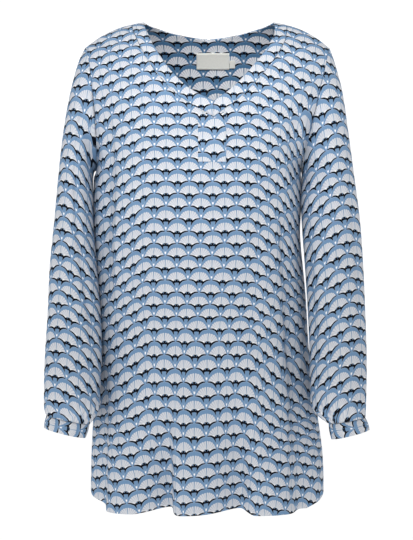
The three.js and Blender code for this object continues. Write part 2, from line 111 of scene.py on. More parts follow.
# ---- Front panel: one cut piece of thin crepe with a V neck and a curved shirt-tail hem,
# printed all over with rows of overlapping fans. It hangs from the shoulder seams in an A
# line, and falls in soft folds towards the hem.
RIGHT, LEFT = -1, 1
CLOTH = 1.2  # thickness of the shell
SEAM_GAP = 0.4
NECK = {"x": 3.5, "half": 103.5, "back_low": -20}
SHOULDER = {RIGHT: -194, LEFT: 196, "drop": -41, "ridge_y": 3}
UNDERARM = {"z": -236, "y": 18}
ARMHOLE = {"front": -60, "back": 58, "hollow": {RIGHT: 9, LEFT: 1}}
ROUND = {"front": 150, "back": 105}
SQUARENESS = 2.3
HEM = {"side": -744, "front": -772, "back": -780, "curve_from": 0.68, "curve": 0.9}
BODY = [  # reach of the oval body to the right, left, front and back, at each height
    {"z": 0, RIGHT: 174, LEFT: 150, "front": 92, "back": 84},
    {"z": -90, RIGHT: 174, LEFT: 150, "front": 107, "back": 98},
    {"z": -160, RIGHT: 174, LEFT: 150, "front": 114, "back": 104},
    {"z": -236, RIGHT: 177, LEFT: 150, "front": 118, "back": 104},
    {"z": -246, RIGHT: 181, LEFT: 152.8, "front": 118.4, "back": 103.6},
    {"z": -262, RIGHT: 182, LEFT: 153.5, "front": 119, "back": 103},
    {"z": -300, RIGHT: 182.5, LEFT: 152, "front": 120, "back": 102},
    {"z": -340, RIGHT: 182.5, LEFT: 150.5, "front": 121, "back": 101},
    {"z": -434, RIGHT: 179, LEFT: 159, "front": 123, "back": 101},
    {"z": -525, RIGHT: 177, LEFT: 165, "front": 125, "back": 104},
    {"z": -632, RIGHT: 182, LEFT: 179, "front": 127, "back": 109},
    {"z": -700, RIGHT: 185, LEFT: 187, "front": 129, "back": 113},
    {"z": -800, RIGHT: 186, LEFT: 188, "front": 131, "back": 118},
]
# Hanging folds: place round the body in degrees (0 centre front, 90 left side), half-widths
# before and after it, depth, slide of the valley, and the heights where it starts, is full
# and, for some, has faded out again.
FOLDS = [
    {"at": -20.5, "before": 8.5, "after": 2.6, "deep": 34, "lean": 0, "from": -520, "full": -790},
    {"at": 17, "before": 10, "after": 2.6, "deep": 30, "lean": 0.2, "from": -500, "full": -790},
    {"at": -44, "before": 8, "after": 8, "deep": -6, "lean": 0, "from": -560, "full": -770},
    {"at": 33, "before": 8, "after": 9, "deep": -7, "lean": 0, "from": -520, "full": -770},
    {"at": 56, "before": 6, "after": 8, "deep": 12, "lean": 0, "from": -280, "full": -620},
    {"at": -66, "before": 6, "after": 5, "deep": 10, "lean": 0, "from": -520, "full": -740},
    {"at": -62, "before": 5, "after": 5, "deep": 8, "lean": 0, "from": -150, "full": -300, "end": -480},
    {"at": 163, "before": 9, "after": 9, "deep": 20, "lean": 0.6, "from": -430, "full": -770},
    {"at": -158, "before": 10, "after": 10, "deep": 24, "lean": -0.7, "from": -400, "full": -770},
    {"at": -122, "before": 8, "after": 8, "deep": 14, "lean": 0.4, "from": -480, "full": -770},
    {"at": 124, "before": 8, "after": 8, "deep": 15, "lean": -0.4, "from": -460, "full": -770},
]
FOLD_LIFT = 0.3
# Pressed and dragged creases of the front: a line from its top to its bottom end, its
# half-widths towards -X and +X, and its depth (a ridge where it is below nought).
FRONT_CREASES = [
    {"top": (117, -300), "bottom": (121, -440), "before": 3, "after": 9, "deep": 4.0},
    {"top": (120, -420), "bottom": (132, -580), "before": 3, "after": 9, "deep": 5.0},
    {"top": (131, -560), "bottom": (134, -800), "before": 3, "after": 9, "deep": 5.0},
    {"top": (-158, -520), "bottom": (-160, -800), "before": 6, "after": 3, "deep": 4.0},
    {"top": (-155, -135), "bottom": (-144, -250), "before": 7, "after": 2.5, "deep": 3.5},
    {"top": (-144, -225), "bottom": (-148, -350), "before": 7, "after": 2.5, "deep": 4.0},
    {"top": (-150, -330), "bottom": (-148, -460), "before": 8, "after": 2.5, "deep": 3.0},
    {"top": (124, -150), "bottom": (138, -290), "before": 2.2, "after": 2.6, "deep": 2.4},
    {"top": (131, -140), "bottom": (141, -285), "before": 2.2, "after": 2.6, "deep": 3.0},
    {"top": (138, -130), "bottom": (144, -280), "before": 2.0, "after": 2.4, "deep": 3.0},
    {"top": (145, -135), "bottom": (147, -275), "before": 2.0, "after": 2.2, "deep": 2.6},
    {"top": (-150, -70), "bottom": (-166, -150), "before": 4, "after": 6, "deep": 1.6},
    {"top": (-132, -300), "bottom": (-100, -560), "before": 9, "after": 9, "deep": 1.8},
    {"top": (88, -260), "bottom": (62, -560), "before": 10, "after": 8, "deep": 2.0},
    {"top": (-60, -300), "bottom": (-34, -620), "before": 12, "after": 12, "deep": 1.6},
]
# The neck band's inner edge, from the neck point to the point of the V, for each side.
NECK_EDGE = {
    RIGHT: [(-100, 0), (-99.3, -3.5), (-97, -12), (-91, -26), (-84, -42), (-74, -60),
            (-60, -81), (-41, -103), (-20, -120), (11, -136)],
    LEFT: [(107, 0), (107.5, -3.5), (108, -12), (106, -26), (97, -44), (87, -60),
           (72, -79), (55, -99), (37, -117), (11, -136)],
}
BAND = {"width": 20, "mitre": 25, "crown": 0.9, "stretch": 1.02}
SPANS = {"neck": 9, "nape": 4, "all": 13}
NECK_TURN = {"front": 0.57, "back": 0.34}
OVAL = {"x": 170, "y": 125}
CLIMB_SHARE = 0.92
SMOOTH = {"over": 45, "much": 0.5, "times": 60}
WELD = 0.00002


def ease(a, b, x):
    t = np.clip((x - a) / (b - a), 0, 1)
    return t * t * (3 - 2 * t)


def curve(places, values):
    """A smooth curve through values at rising places."""
    places, values = np.array(places, float), np.array(values, float)
    below, above = np.r_[0, : len(places) - 1], np.r_[1 : len(places), len(places) - 1]
    slopes = (values[above] - values[below]) / (places[above] - places[below])

    def at(x):
        i = np.clip(np.searchsorted(places, x, side="right") - 1, 0, len(places) - 2)
        span = places[i + 1] - places[i]
        t = np.clip((x - places[i]) / span, 0, 1)
        rise = t * t * (3 - 2 * t)
        bend = t * (1 - t) * ((1 - t) * slopes[i] - t * slopes[i + 1]) * span
        return values[i] + (values[i + 1] - values[i]) * rise + bend

    return at


heights = [row["z"] for row in BODY][::-1]
reach = {way: curve(heights, [row[way] for row in BODY][::-1]) for way in (RIGHT, LEFT, "front", "back")}


def seam_y(z):
    t = ease(SHOULDER["drop"], UNDERARM["z"], z)
    return SHOULDER["ridge_y"] + (UNDERARM["y"] - SHOULDER["ridge_y"]) * t


def shoulder_z(x):
    side = np.where(x < NECK["x"], RIGHT, LEFT)
    start = NECK["x"] + side * NECK["half"]
    tip = np.where(side == RIGHT, SHOULDER[RIGHT], SHOULDER[LEFT])
    q = np.clip((x - start) / (tip - start), 0, 1)
    return SHOULDER["drop"] * (0.35 * q + 0.65 * q**2.5)


def armhole(side, face, turn):
    """A point of the armhole, from the shoulder tip at turn 0 to the underarm at pi."""
    up = (1 + np.cos(turn)) / 2
    under = side * reach[side](UNDERARM["z"])
    z = UNDERARM["z"] + (SHOULDER["drop"] - UNDERARM["z"]) * up
    hollow = side * ARMHOLE["hollow"][side] * np.sin(turn) if face == "front" else 0
    x = under + (SHOULDER[side] - under) * up - hollow
    return x, seam_y(z) + np.sin(turn) * ARMHOLE[face], z


def full_depth(face, z):
    return reach[face](z) + (seam_y(z) if face == "front" else -seam_y(z))


def rounding(face, x, z):
    t = np.clip((shoulder_z(x) - z) / ROUND[face], 0, 1)
    return np.sqrt(1 - (1 - t) ** 2)


def half_width(side, face, z):
    """Half-width of the oval at a height. Above the underarm its curve meets the armhole."""
    t = np.clip((z - UNDERARM["z"]) / (SHOULDER["drop"] - UNDERARM["z"]), 0, 1)
    turn = np.maximum(0.06, np.arccos(t * 2 - 1))
    x, y, edge_z = armhole(side, face, turn)
    share = np.clip(abs(y - seam_y(edge_z)) / (full_depth(face, edge_z) * rounding(face, x, edge_z)), 0, 0.97)
    above = abs(x) / (1 - share**SQUARENESS) ** (1 / SQUARENESS)
    return np.where(z <= UNDERARM["z"], reach[side](z), above)


def form_y(side, face, x, z):
    share = np.clip(abs(x) / half_width(side, face, z), 0, 1)
    across = (1 - share**SQUARENESS) ** (1 / SQUARENESS)
    depth = full_depth(face, z) * rounding(face, x, z) * across
    return seam_y(z) + (-depth if face == "front" else depth)


def outward(x, y):
    """The level direction out of the body at each point."""
    out = np.stack([x / OVAL["x"], (y - UNDERARM["y"]) / OVAL["y"]])
    return out / np.maximum(np.linalg.norm(out, axis=0), 1e-9)


def fold_in(x, y, z, degrees):
    """Moves points of the body in by the hanging folds that pass them."""
    out = outward(x, y)
    inwards, sideways = np.zeros_like(x), np.zeros_like(x)
    for f in FOLDS:
        away = (degrees - f["at"] + 540) % 360 - 180
        off = away / np.where(away < 0, f["before"], f["after"])
        grown = ease(f["from"], f["full"], z)
        if "end" in f:
            grown = grown * (1 - ease(f["full"], f["end"], z))
        depth = f["deep"] * grown * np.exp(-off * off / 2)
        inwards += depth
        sideways += depth * f["lean"]
    x = x - out[0] * inwards - out[1] * sideways
    y = y - out[1] * inwards + out[0] * sideways
    return x, y, z + FOLD_LIFT * np.maximum(0, inwards)


def crease_in(creases, x, y, z):
    """Presses creases into a panel, along its outward direction."""
    out = outward(x, y)
    depth = np.zeros_like(x)
    for c in creases:
        (top_x, top_z), (low_x, low_z) = c["top"], c["bottom"]
        t = (z - top_z) / (low_z - top_z)
        fade = ease(0, 0.3, t) * ease(1, 0.72, t)
        away = x - (top_x + (low_x - top_x) * t)
        off = away / np.where(away < 0, c["before"], c["after"])
        depth += c["deep"] * fade * np.exp(-off * off / 2)
    return x - out[0] * depth, y - out[1] * depth, z


def band_edges(side):
    """Inner and outer edge of the neck band at its stations, from the neck point down."""
    inner = np.array(NECK_EDGE[side], float)
    outer = inner.copy()
    for k, (x, z) in enumerate(inner):
        after, before = inner[max(0, k - 1)], inner[min(len(inner) - 1, k + 1)]
        away = np.array([side * abs(before[1] - after[1]), -abs(before[0] - after[0])])
        away /= np.linalg.norm(away)
        outer[k] = (x + away[0] * BAND["width"], z + away[1] * BAND["width"])
        ridge = float(shoulder_z(np.float64(outer[k][0])))
        outer[k][1] = ridge if k == 0 else min(outer[k][1], ridge - k * 2.6)
    outer[-1] = (inner[-1][0], inner[-1][1] - BAND["mitre"])
    return inner, outer


def inner_end(side, face, k):
    """The inner end of a row of a half panel, k spans above the underarm row: up the
    middle, then round the neckline. Also the armhole's turn there, and a fade."""
    neck_x = NECK["x"] + side * NECK["half"]
    round_ = SPANS["neck"] if face == "front" else SPANS["nape"]
    chest = SPANS["all"] - round_
    stations = np.arange(SPANS["neck"] + 1)
    outer = band_edges(side)[1]
    low = outer[-1] if face == "front" else np.array([NECK["x"], NECK["back_low"]])
    low_turn = NECK_TURN[face] * math.pi
    t = np.clip(k / chest, 0, 1)
    s = np.clip((k - chest) / round_, 0, 1)
    middle_z = UNDERARM["z"] + (low[1] - UNDERARM["z"]) * t ** (1 if face == "front" else 0.9)
    if face == "front":
        edge_x = curve(stations, outer[::-1, 0])(s * round_)
        edge_z = curve(stations, outer[::-1, 1])(s * round_)
    else:
        edge_x = NECK["x"] + (neck_x - NECK["x"]) * s
        edge_z = NECK["back_low"] * (1 - s**1.6)
    at_neck = k > chest
    turn = np.where(at_neck, low_turn * (1 - s), math.pi + (low_turn - math.pi) * t)
    return np.where(at_neck, edge_x, low[0] * t), np.where(at_neck, edge_z, middle_z), turn, s


def arc_lengths(points, axis):
    """Running length along one axis of a grid of points."""
    steps = np.linalg.norm(np.diff(points, axis=axis), axis=-1)
    pad = [(0, 0), (0, 0)]
    pad[axis] = (1, 0)
    return np.pad(np.cumsum(steps, axis=axis), pad)


def climb(face, side, x, z):
    """Length of cloth from the underarm's height up the form to z, at x."""
    x = side * np.minimum(abs(x), CLIMB_SHARE * reach[side](UNDERARM["z"]))
    low = np.minimum(z, UNDERARM["z"])
    total = np.zeros_like(z)
    last_y, last_z = form_y(side, face, x, low), low
    for t in np.sin(np.linspace(0, math.pi / 2, 25))[1:]:
        next_z = low + (z - low) * t
        next_y = form_y(side, face, x, next_z)
        total += np.hypot(next_y - last_y, next_z - last_z)
        last_y, last_z = next_y, next_z
    return np.where(z > UNDERARM["z"], total, z - UNDERARM["z"]) + UNDERARM["z"]


def half_panel(side, face, columns, lower, upper, creases):
    """Points of a half panel from its side edge to its middle, hem to shoulder, and the
    place of each point on the flat printed cloth, both in millimetres."""
    share = 1 - np.arange(columns + 1) / columns
    across = np.sin(share * math.pi / 2)
    degrees = side * share * 90 if face == "front" else side * (180 - share * 90)
    rise = (np.arange(lower) / lower)[:, None]
    drop = np.clip((share - HEM["curve_from"]) / (1 - HEM["curve_from"]), 0, 1) ** HEM["curve"]
    hem = HEM[face] + (HEM["side"] - HEM[face]) * drop
    z_low = hem[None, :] * (1 - rise) + UNDERARM["z"] * rise
    x_low = side * across[None, :] * reach[side](z_low)
    k = np.arange(upper + 1) / upper * SPANS["all"]
    end_x, end_z, turn, fade = (v[:, None] for v in inner_end(side, face, k))
    arm_x, arm_y, arm_z = armhole(side, face, turn)
    x_up = end_x + (arm_x - end_x) * across
    line = shoulder_z(end_x) + (shoulder_z(arm_x) - shoulder_z(end_x)) * across
    z_up = end_z + (arm_z - end_z) * across + (shoulder_z(x_up) - line) * fade
    x, z = np.vstack([x_low, x_up]), np.vstack([z_low, z_up])
    y = form_y(side, face, x, z)
    y[lower:, 0] = arm_y[:, 0]
    flat_z = climb(face, side, x, z)
    x, y, z = fold_in(x, y, z, degrees[None, :])
    x, y, z = crease_in(creases, x, y, z)
    points = np.stack([x, y, z, flat_z], axis=-1)
    near = np.exp(-(((z - UNDERARM["z"]) / SMOOTH["over"]) ** 2))[..., None] * SMOOTH["much"]
    near[:, 0] = near[:, -1] = 0
    for _ in range(SMOOTH["times"]):
        mean = points.copy()
        mean[1:-1] = (points[2:] + points[:-2]) / 2
        points += (mean - points) * near
    points, flat_z = points[..., :3], points[..., 3]
    walk = arc_lengths(points[:, ::-1] * (1, 1, 0), 1)[:, ::-1]
    return points, np.stack([side * walk + points[:, -1:, 0], flat_z], axis=-1)


# How the print lies on the body. Its rows are level in the middle, closer on the chest and
# wider near the hem, and hang down steeply towards the sides, most of all where the cloth is
# drawn in under the left arm. Across the cloth, soft folds towards the hem take in a little
# more of it than they show.
ROW_RISE = curve([-790, -700, -620, -500, -400, -240, -160, -80, 0], [5, 9, 3, -7, -3.5, 0, 8, 18, 27])
DROOP = {
    RIGHT: {
        "from": 84,
        "over": 12,
        "slope": curve([-790, -700, -600, -280, -150, 0], [0.15, 0.15, 0.55, 0.58, 0.36, 0.3]),
    },
    LEFT: {
        "from": 64,
        "over": 12,
        "slope": curve([-790, -690, -610, -520, -400, -280, -160, 0],
                       [0.32, 0.34, 0.8, 0.84, 0.66, 0.56, 0.4, 0.3]),
    },
}
DRAWN_IN = {"from": 108, "over": 42, "fall": 30, "top": (-110, -230), "foot": (-480, -380)}
TAKEN_IN = [
    {"at": -82, "over": 14, "much": 6},
    {"at": -40, "over": 14, "much": 8},
    {"at": 30, "over": 18, "much": 11},
    {"at": 82, "over": 10, "much": 9},
]
TAKEN = {"from": -360, "full": -580, "shift": 4}


def lie(points, place, side, droop):
    """Moves the places on the flat cloth so that the print's rows hang as they should."""
    x, z = points[..., 0], points[..., 2]
    hang = DROOP[side]
    far = np.maximum(0, abs(x) - hang["from"])
    place[..., 1] += ROW_RISE(z) + droop * hang["slope"](z) * far**2 / (far + hang["over"])
    if side == LEFT:
        drawn = ease(*DRAWN_IN["top"], z) * ease(*DRAWN_IN["foot"], z)
        near_seam = np.clip((x - DRAWN_IN["from"]) / DRAWN_IN["over"], 0, 1.2)
        place[..., 1] += droop * DRAWN_IN["fall"] * drawn * near_seam**2
    grown = ease(TAKEN["from"], TAKEN["full"], z)
    for fold in TAKEN_IN:
        place[..., 0] += grown * fold["much"] * ease(-fold["over"], fold["over"], x - fold["at"])
    place[..., 0] -= grown * TAKEN["shift"]
    return place


def add_cells(bm, points, place):
    """Adds a sheet of cells through a grid of points, with its place on the flat cloth."""
    rows, columns = points.shape[0] - 1, points.shape[1] - 1
    layer = bm.verts.layers.float_vector.get("place") or bm.verts.layers.float_vector.new("place")
    made = bmesh.ops.create_grid(bm, x_segments=columns, y_segments=rows, size=0.5)["verts"]
    for v in made:
        i, j = round((v.co.x + 0.5) * columns), round((v.co.y + 0.5) * rows)
        v.co = points[j, i] / 1000
        v[layer] = (place[j, i, 0] / 1000, place[j, i, 1] / 1000, 0)


def cloth_piece(name, bm, materials, centre, wall=CLOTH):
    """Finishes a piece of cloth: welds it, turns it outwards and gives it its thickness."""
    bmesh.ops.remove_doubles(bm, verts=bm.verts, dist=WELD)
    bmesh.ops.recalc_face_normals(bm, faces=bm.faces)
    facing = sum(f.normal.dot(f.calc_center_median() - centre(f)) for f in bm.faces)
    if facing < 0:
        bmesh.ops.reverse_faces(bm, faces=bm.faces)
    layer = bm.verts.layers.float_vector["place"]
    uv = bm.loops.layers.uv.new("cloth")
    for f in bm.faces:
        f.smooth = True
        for loop in f.loops:
            loop[uv].uv = loop.vert[layer][:2]
    bm.verts.layers.float_vector.remove(layer)
    mesh = bpy.data.meshes.new(name)
    bm.to_mesh(mesh)
    bm.free()
    piece = bpy.data.objects.new(name, mesh)
    scene.collection.objects.link(piece)
    for m in materials:
        mesh.materials.append(m)
    shell = piece.modifiers.new("wall", "SOLIDIFY")
    shell.thickness = wall / 1000
    shell.offset = -1
    if len(materials) > 1:
        shell.material_offset = 1
    return piece


def calc(tree, operation, *values, clamp=False):
    """A Math node over sockets and numbers, and its result."""
    node = tree.nodes.new("ShaderNodeMath")
    node.operation = operation
    node.use_clamp = clamp
    for k, value in enumerate(values):
        if isinstance(value, (int, float)):
            node.inputs[k].default_value = value
        else:
            tree.links.new(value, node.inputs[k])
    return node.outputs[0]


def blend_colour(tree, factor, under, over):
    """Lays one colour over another."""
    node = tree.nodes.new("ShaderNodeMix")
    node.data_type = "RGBA"
    tree.links.new(factor, node.inputs["Factor"])
    tree.links.new(under, node.inputs[6])
    tree.links.new(over, node.inputs[7])
    return node.outputs[2]


def new_group(name, inputs, outputs):
    tree = bpy.data.node_groups.new(name, "ShaderNodeTree")
    for label, kind, value in inputs:
        socket = tree.interface.new_socket(label, in_out="INPUT", socket_type=kind)
        if value is not None:
            socket.default_value = value
    for label, kind in outputs:
        tree.interface.new_socket(label, in_out="OUTPUT", socket_type=kind)
    return tree, tree.nodes.new("NodeGroupInput"), tree.nodes.new("NodeGroupOutput")


# The printed repeat, charted: rows of overlapping fans, each row half a fan along
# from the next, every fan with a dark outline, a blue border and a pale rayed heart. A white
# dot marks where two fans meet, and a three-lobed bud with a leaf stands in each gap.
FAN = {"wide": 36.5, "pitch": 19.3, "soft": 0.4}
OUTLINE = {"bow": 0.0136, "turn_down": 0.0000887, "wide": 2.2, "wider": 0.0055, "break": 1.6, "ends": 15.0}
HEART = {"top": 7.7, "bow": 0.0214, "turn_down": 0.0001, "half": 16.1, "foot": 24.0}
DOT = {"down": 15.2, "half": (1.2, 2.1)}
BUD = {  # ovals: place across from the gap's middle and down from the fans' tops, half-sizes
    "middle lobe": (0.0, 0.4, 1.9, 3.5),
    "side lobes": (3.6, 3.6, 1.9, 2.1),
    "bar": (0.0, 3.8, 3.4, 1.5),
    "leaf": (0.0, 8.6, 1.4, 3.7),
}
WAVER = {"fine": 1.6, "fine_scale": 90.0, "broad": 5.0, "broad_scale": 9.0}


def make_fan_print():
    tree, given, result = new_group(
        "fan_print",
        [("Place", "NodeSocketVector", None), ("Size", "NodeSocketFloat", 1.0),
         ("Border", "NodeSocketColor", (0.2, 0.35, 0.6, 1)), ("Outline", "NodeSocketColor", (0, 0, 0, 1)),
         ("Heart", "NodeSocketColor", (0.8, 0.8, 0.85, 1)), ("Rays", "NodeSocketColor", (0.5, 0.5, 0.7, 1)),
         ("White", "NodeSocketColor", (0.9, 0.9, 0.9, 1)), ("Ray depth", "NodeSocketFloat", 0.5)],
        [("Colour", "NodeSocketColor"), ("Ink", "NodeSocketFloat")],
    )

    def m(operation, *values, clamp=False):
        return calc(tree, operation, *values, clamp=clamp)

    def inside(value, limit, soft=FAN["soft"]):
        """1 where value is under limit, with a soft edge."""
        return m("SUBTRACT", 0.5, m("DIVIDE", m("SUBTRACT", value, limit), soft), clamp=True)

    def oval(at_x, at_h, half_x, half_h):
        dx = m("DIVIDE", m("SUBTRACT", side, at_x), half_x)
        dh = m("DIVIDE", m("SUBTRACT", h, at_h), half_h)
        return m("SQRT", m("ADD", m("MULTIPLY", dx, dx), m("MULTIPLY", dh, dh)))

    def bud_part(name, soft=0.3):
        at_x, down, half_x, half_h = BUD[name]
        return inside(oval(at_x, FAN["pitch"] + down, half_x, half_h), 1.0, soft)

    def arch(square, shape):
        """Fall of a fan's arch below its top, by the square of the place across it."""
        bow = m("MULTIPLY", square, shape["bow"])
        return m("ADD", bow, m("MULTIPLY", m("MULTIPLY", square, square), shape["turn_down"]))

    def waver(scale, detail):
        noise = tree.nodes.new("ShaderNodeTexNoise")
        noise.inputs["Scale"].default_value = scale
        noise.inputs["Detail"].default_value = detail
        tree.links.new(given.outputs["Place"], noise.inputs["Vector"])
        parts = tree.nodes.new("ShaderNodeSeparateXYZ")
        tree.links.new(noise.outputs["Color"], parts.inputs[0])
        return parts

    # Millimetres on the flat cloth, drawn by hand and so never quite even.
    fine = waver(WAVER["fine_scale"], 1.0)
    broad = waver(WAVER["broad_scale"], 0.0)
    split = tree.nodes.new("ShaderNodeSeparateXYZ")
    tree.links.new(given.outputs["Place"], split.inputs[0])
    size = m("DIVIDE", 1000.0, given.outputs["Size"])
    uv = []
    for k in (0, 1):
        length = m("MULTIPLY", split.outputs[k], size)
        for noise, much in ((fine, WAVER["fine"]), (broad, WAVER["broad"])):
            length = m("ADD", length, m("MULTIPLY", m("SUBTRACT", noise.outputs[k], 0.5), much))
        uv.append(length)
    u, v = uv

    # The fan whose outline passes nearest, and whether the place is under that outline or
    # belongs to the fan behind it.
    row = m("DIVIDE", v, FAN["pitch"])
    upper = m("CEIL", row)
    below = m("MULTIPLY", m("SUBTRACT", upper, row), FAN["pitch"])
    odd = m("MULTIPLY", m("FLOORED_MODULO", upper, 2.0), 0.5)
    along = m("ADD", m("DIVIDE", u, FAN["wide"]), odd)
    x_near = m("MULTIPLY", m("SUBTRACT", m("FRACT", m("ADD", along, 0.5)), 0.5), FAN["wide"])
    x_behind = m("MULTIPLY", m("SUBTRACT", m("FRACT", along), 0.5), FAN["wide"])
    square = m("MULTIPLY", x_near, x_near)
    fall = arch(square, OUTLINE)
    steeper = m("MULTIPLY", square, 4 * OUTLINE["turn_down"])
    slope = m("MULTIPLY", x_near, m("ADD", 2 * OUTLINE["bow"], steeper))
    lean = m("SQRT", m("ADD", 1.0, m("MULTIPLY", slope, slope)))
    under = m("DIVIDE", m("SUBTRACT", below, fall), lean)
    is_near = m("GREATER_THAN", under, 0.0)
    is_behind = m("SUBTRACT", 1.0, is_near)
    x = m("ADD", m("MULTIPLY", x_near, is_near), m("MULTIPLY", x_behind, is_behind))
    h = m("ADD", below, m("MULTIPLY", is_behind, FAN["pitch"]))
    side = m("ABSOLUTE", x)
    side_near = m("ABSOLUTE", x_near)

    # The heart: fine rays spread from its foot, strongest at its scalloped edge, and it is
    # whitest along the outline below it. A blue rib stands up its middle.
    turn = m("ARCTAN2", x, m("SUBTRACT", HEART["foot"], h))
    rays = m("ABSOLUTE", m("SINE", m("MULTIPLY", turn, 13.0)))
    rays = m("SUBTRACT", 1.0, m("DIVIDE", rays, 0.7), clamp=True)
    from_foot = oval(0.0, HEART["foot"], 1.0, 1.0)
    outer = m("DIVIDE", m("SUBTRACT", from_foot, 5.0), 9.0, clamp=True)
    rays = m("MULTIPLY", m("MULTIPLY", rays, given.outputs["Ray depth"]), outer)
    heart = blend_colour(tree, rays, given.outputs["Heart"], given.outputs["Rays"])
    rim = m("MULTIPLY", inside(m("MULTIPLY", under, -1.0), 2.3, 1.0), is_behind)
    heart = blend_colour(tree, rim, heart, given.outputs["White"])
    edge = m("SUBTRACT", m("ADD", arch(m("MULTIPLY", x, x), HEART), HEART["top"]), h)
    edge = m("ADD", edge, m("MULTIPLY", m("COSINE", m("MULTIPLY", turn, 26.0)), 0.3))
    light_edge = inside(m("ABSOLUTE", m("SUBTRACT", under, OUTLINE["wide"] / 2 + 0.5)), 0.5, 0.8)
    light_edge = m("MULTIPLY", light_edge, 0.2)
    border = blend_colour(tree, light_edge, given.outputs["Border"], given.outputs["White"])
    in_heart = m("MULTIPLY", inside(edge, 0.0), inside(side, HEART["half"]))
    in_gap = m("MULTIPLY", inside(OUTLINE["ends"], side_near), is_behind)
    in_heart = m("MULTIPLY", in_heart, m("SUBTRACT", 1.0, in_gap))
    colour = blend_colour(tree, in_heart, border, heart)
    rib = m("MULTIPLY", inside(side, 0.65), inside(h, FAN["pitch"] - 0.5))
    rib = m("MULTIPLY", rib, m("SUBTRACT", 1.5, m("DIVIDE", h, FAN["pitch"]), clamp=True))
    colour = blend_colour(tree, rib, colour, given.outputs["Border"])
    dot = inside(oval(FAN["wide"] / 2, DOT["down"], *DOT["half"]), 1.0, 0.4)
    colour = blend_colour(tree, dot, colour, given.outputs["White"])

    # The outline, broken at the top of the fan where the stem from the dot above comes in,
    # and the bud in the gap: three lobes joined by a bar, and a blue leaf.
    half_line = m("ADD", OUTLINE["wide"] / 2, m("MULTIPLY", square, OUTLINE["wider"] / 2))
    line = inside(m("SUBTRACT", m("ABSOLUTE", m("SUBTRACT", under, 0.3)), half_line), 0.0)
    line = m("MULTIPLY", line, inside(OUTLINE["break"], side_near))
    line = m("MULTIPLY", line, inside(side_near, OUTLINE["ends"], 1.0))
    lobes = m("MAXIMUM", bud_part("middle lobe"), bud_part("side lobes"))
    bud = m("MULTIPLY", m("MAXIMUM", lobes, bud_part("bar")), is_behind)
    dark = m("MAXIMUM", line, bud)
    colour = blend_colour(tree, dark, colour, given.outputs["Outline"])
    leaf = m("MULTIPLY", bud_part("leaf", 0.35), is_behind)
    colour = blend_colour(tree, leaf, colour, given.outputs["Border"])
    tree.links.new(colour, result.inputs["Colour"])
    tree.links.new(dark, result.inputs["Ink"])
    return tree


# The ground cloth: a fine plain weave with crepe's slightly uneven threads.
def make_crepe_weave():
    tree, given, result = new_group(
        "crepe_weave",
        [("Place", "NodeSocketVector", None), ("Thread", "NodeSocketFloat", 0.45)],
        [("Height", "NodeSocketFloat"), ("Shade", "NodeSocketFloat")],
    )

    def m(operation, *values, clamp=False):
        return calc(tree, operation, *values, clamp=clamp)

    split = tree.nodes.new("ShaderNodeSeparateXYZ")
    tree.links.new(given.outputs["Place"], split.inputs[0])
    waves = [
        m("SINE", m("DIVIDE", m("MULTIPLY", split.outputs[k], 1000.0 * math.pi), given.outputs["Thread"]))
        for k in (0, 1)
    ]
    weave = m("MULTIPLY", m("MULTIPLY", waves[0], waves[1]), 0.5)
    slub = tree.nodes.new("ShaderNodeTexNoise")
    slub.inputs["Scale"].default_value = 260.0
    slub.inputs["Detail"].default_value = 3.0
    tree.links.new(given.outputs["Place"], slub.inputs["Vector"])
    crepe = m("SUBTRACT", slub.outputs["Fac"], 0.5)
    tree.links.new(m("ADD", weave, m("MULTIPLY", crepe, 1.6)), result.inputs["Height"])
    tree.links.new(m("ADD", 1.0, m("MULTIPLY", crepe, 0.10)), result.inputs["Shade"])
    return tree


fan_print = make_fan_print()
crepe_weave = make_crepe_weave()


def woven(name, relief, thread=0.45):
    """A finely woven material: also its cloth map, and the socket for the colour it shades."""
    material = bpy.data.materials.new(name)
    material.use_nodes = True
    tree = material.node_tree
    shader = tree.nodes["Principled BSDF"]
    place = tree.nodes.new("ShaderNodeUVMap")
    place.uv_map = "cloth"
    weave = tree.nodes.new("ShaderNodeGroup")
    weave.node_tree = crepe_weave
    weave.inputs["Thread"].default_value = thread
    tree.links.new(place.outputs["UV"], weave.inputs["Place"])
    shaded = tree.nodes.new("ShaderNodeMix")
    shaded.data_type = "RGBA"
    shaded.blend_type = "MULTIPLY"
    shaded.inputs["Factor"].default_value = 1.0
    tree.links.new(weave.outputs["Shade"], shaded.inputs[7])
    tree.links.new(shaded.outputs[2], shader.inputs["Base Color"])
    bump = tree.nodes.new("ShaderNodeBump")
    bump.inputs["Strength"].default_value = relief
    bump.inputs["Distance"].default_value = 0.0002
    tree.links.new(weave.outputs["Height"], bump.inputs["Height"])
    tree.links.new(bump.outputs["Normal"], shader.inputs["Normal"])
    return material, place, shaded.inputs[6]


def printed_cloth(name, colours, ray_depth, size=1.0, turned=False, shift=(0, 0)):
    """A material of the printed crepe, its print laid by the piece's own cloth map."""
    material, place, base = woven(name, 0.25)
    tree = material.node_tree
    shader = tree.nodes["Principled BSDF"]
    lay = tree.nodes.new("ShaderNodeMapping")
    lay.inputs["Location"].default_value = (shift[0] / 1000, shift[1] / 1000, 0)
    lay.inputs["Rotation"].default_value = (0, 0, math.pi / 2 if turned else 0)
    tree.links.new(place.outputs["UV"], lay.inputs["Vector"])
    pattern = tree.nodes.new("ShaderNodeGroup")
    pattern.node_tree = fan_print
    tree.links.new(lay.outputs[0], pattern.inputs["Place"])
    pattern.inputs["Size"].default_value = size
    pattern.inputs["Ray depth"].default_value = ray_depth
    for label, colour in colours.items():
        pattern.inputs[label].default_value = (*colour, 1)
    tree.links.new(pattern.outputs["Colour"], base)
    rough = calc(tree, "SUBTRACT", 0.78, calc(tree, "MULTIPLY", pattern.outputs["Ink"], 0.08))
    tree.links.new(rough, shader.inputs["Roughness"])
    shader.inputs["Specular IOR Level"].default_value = 0.07
    return material


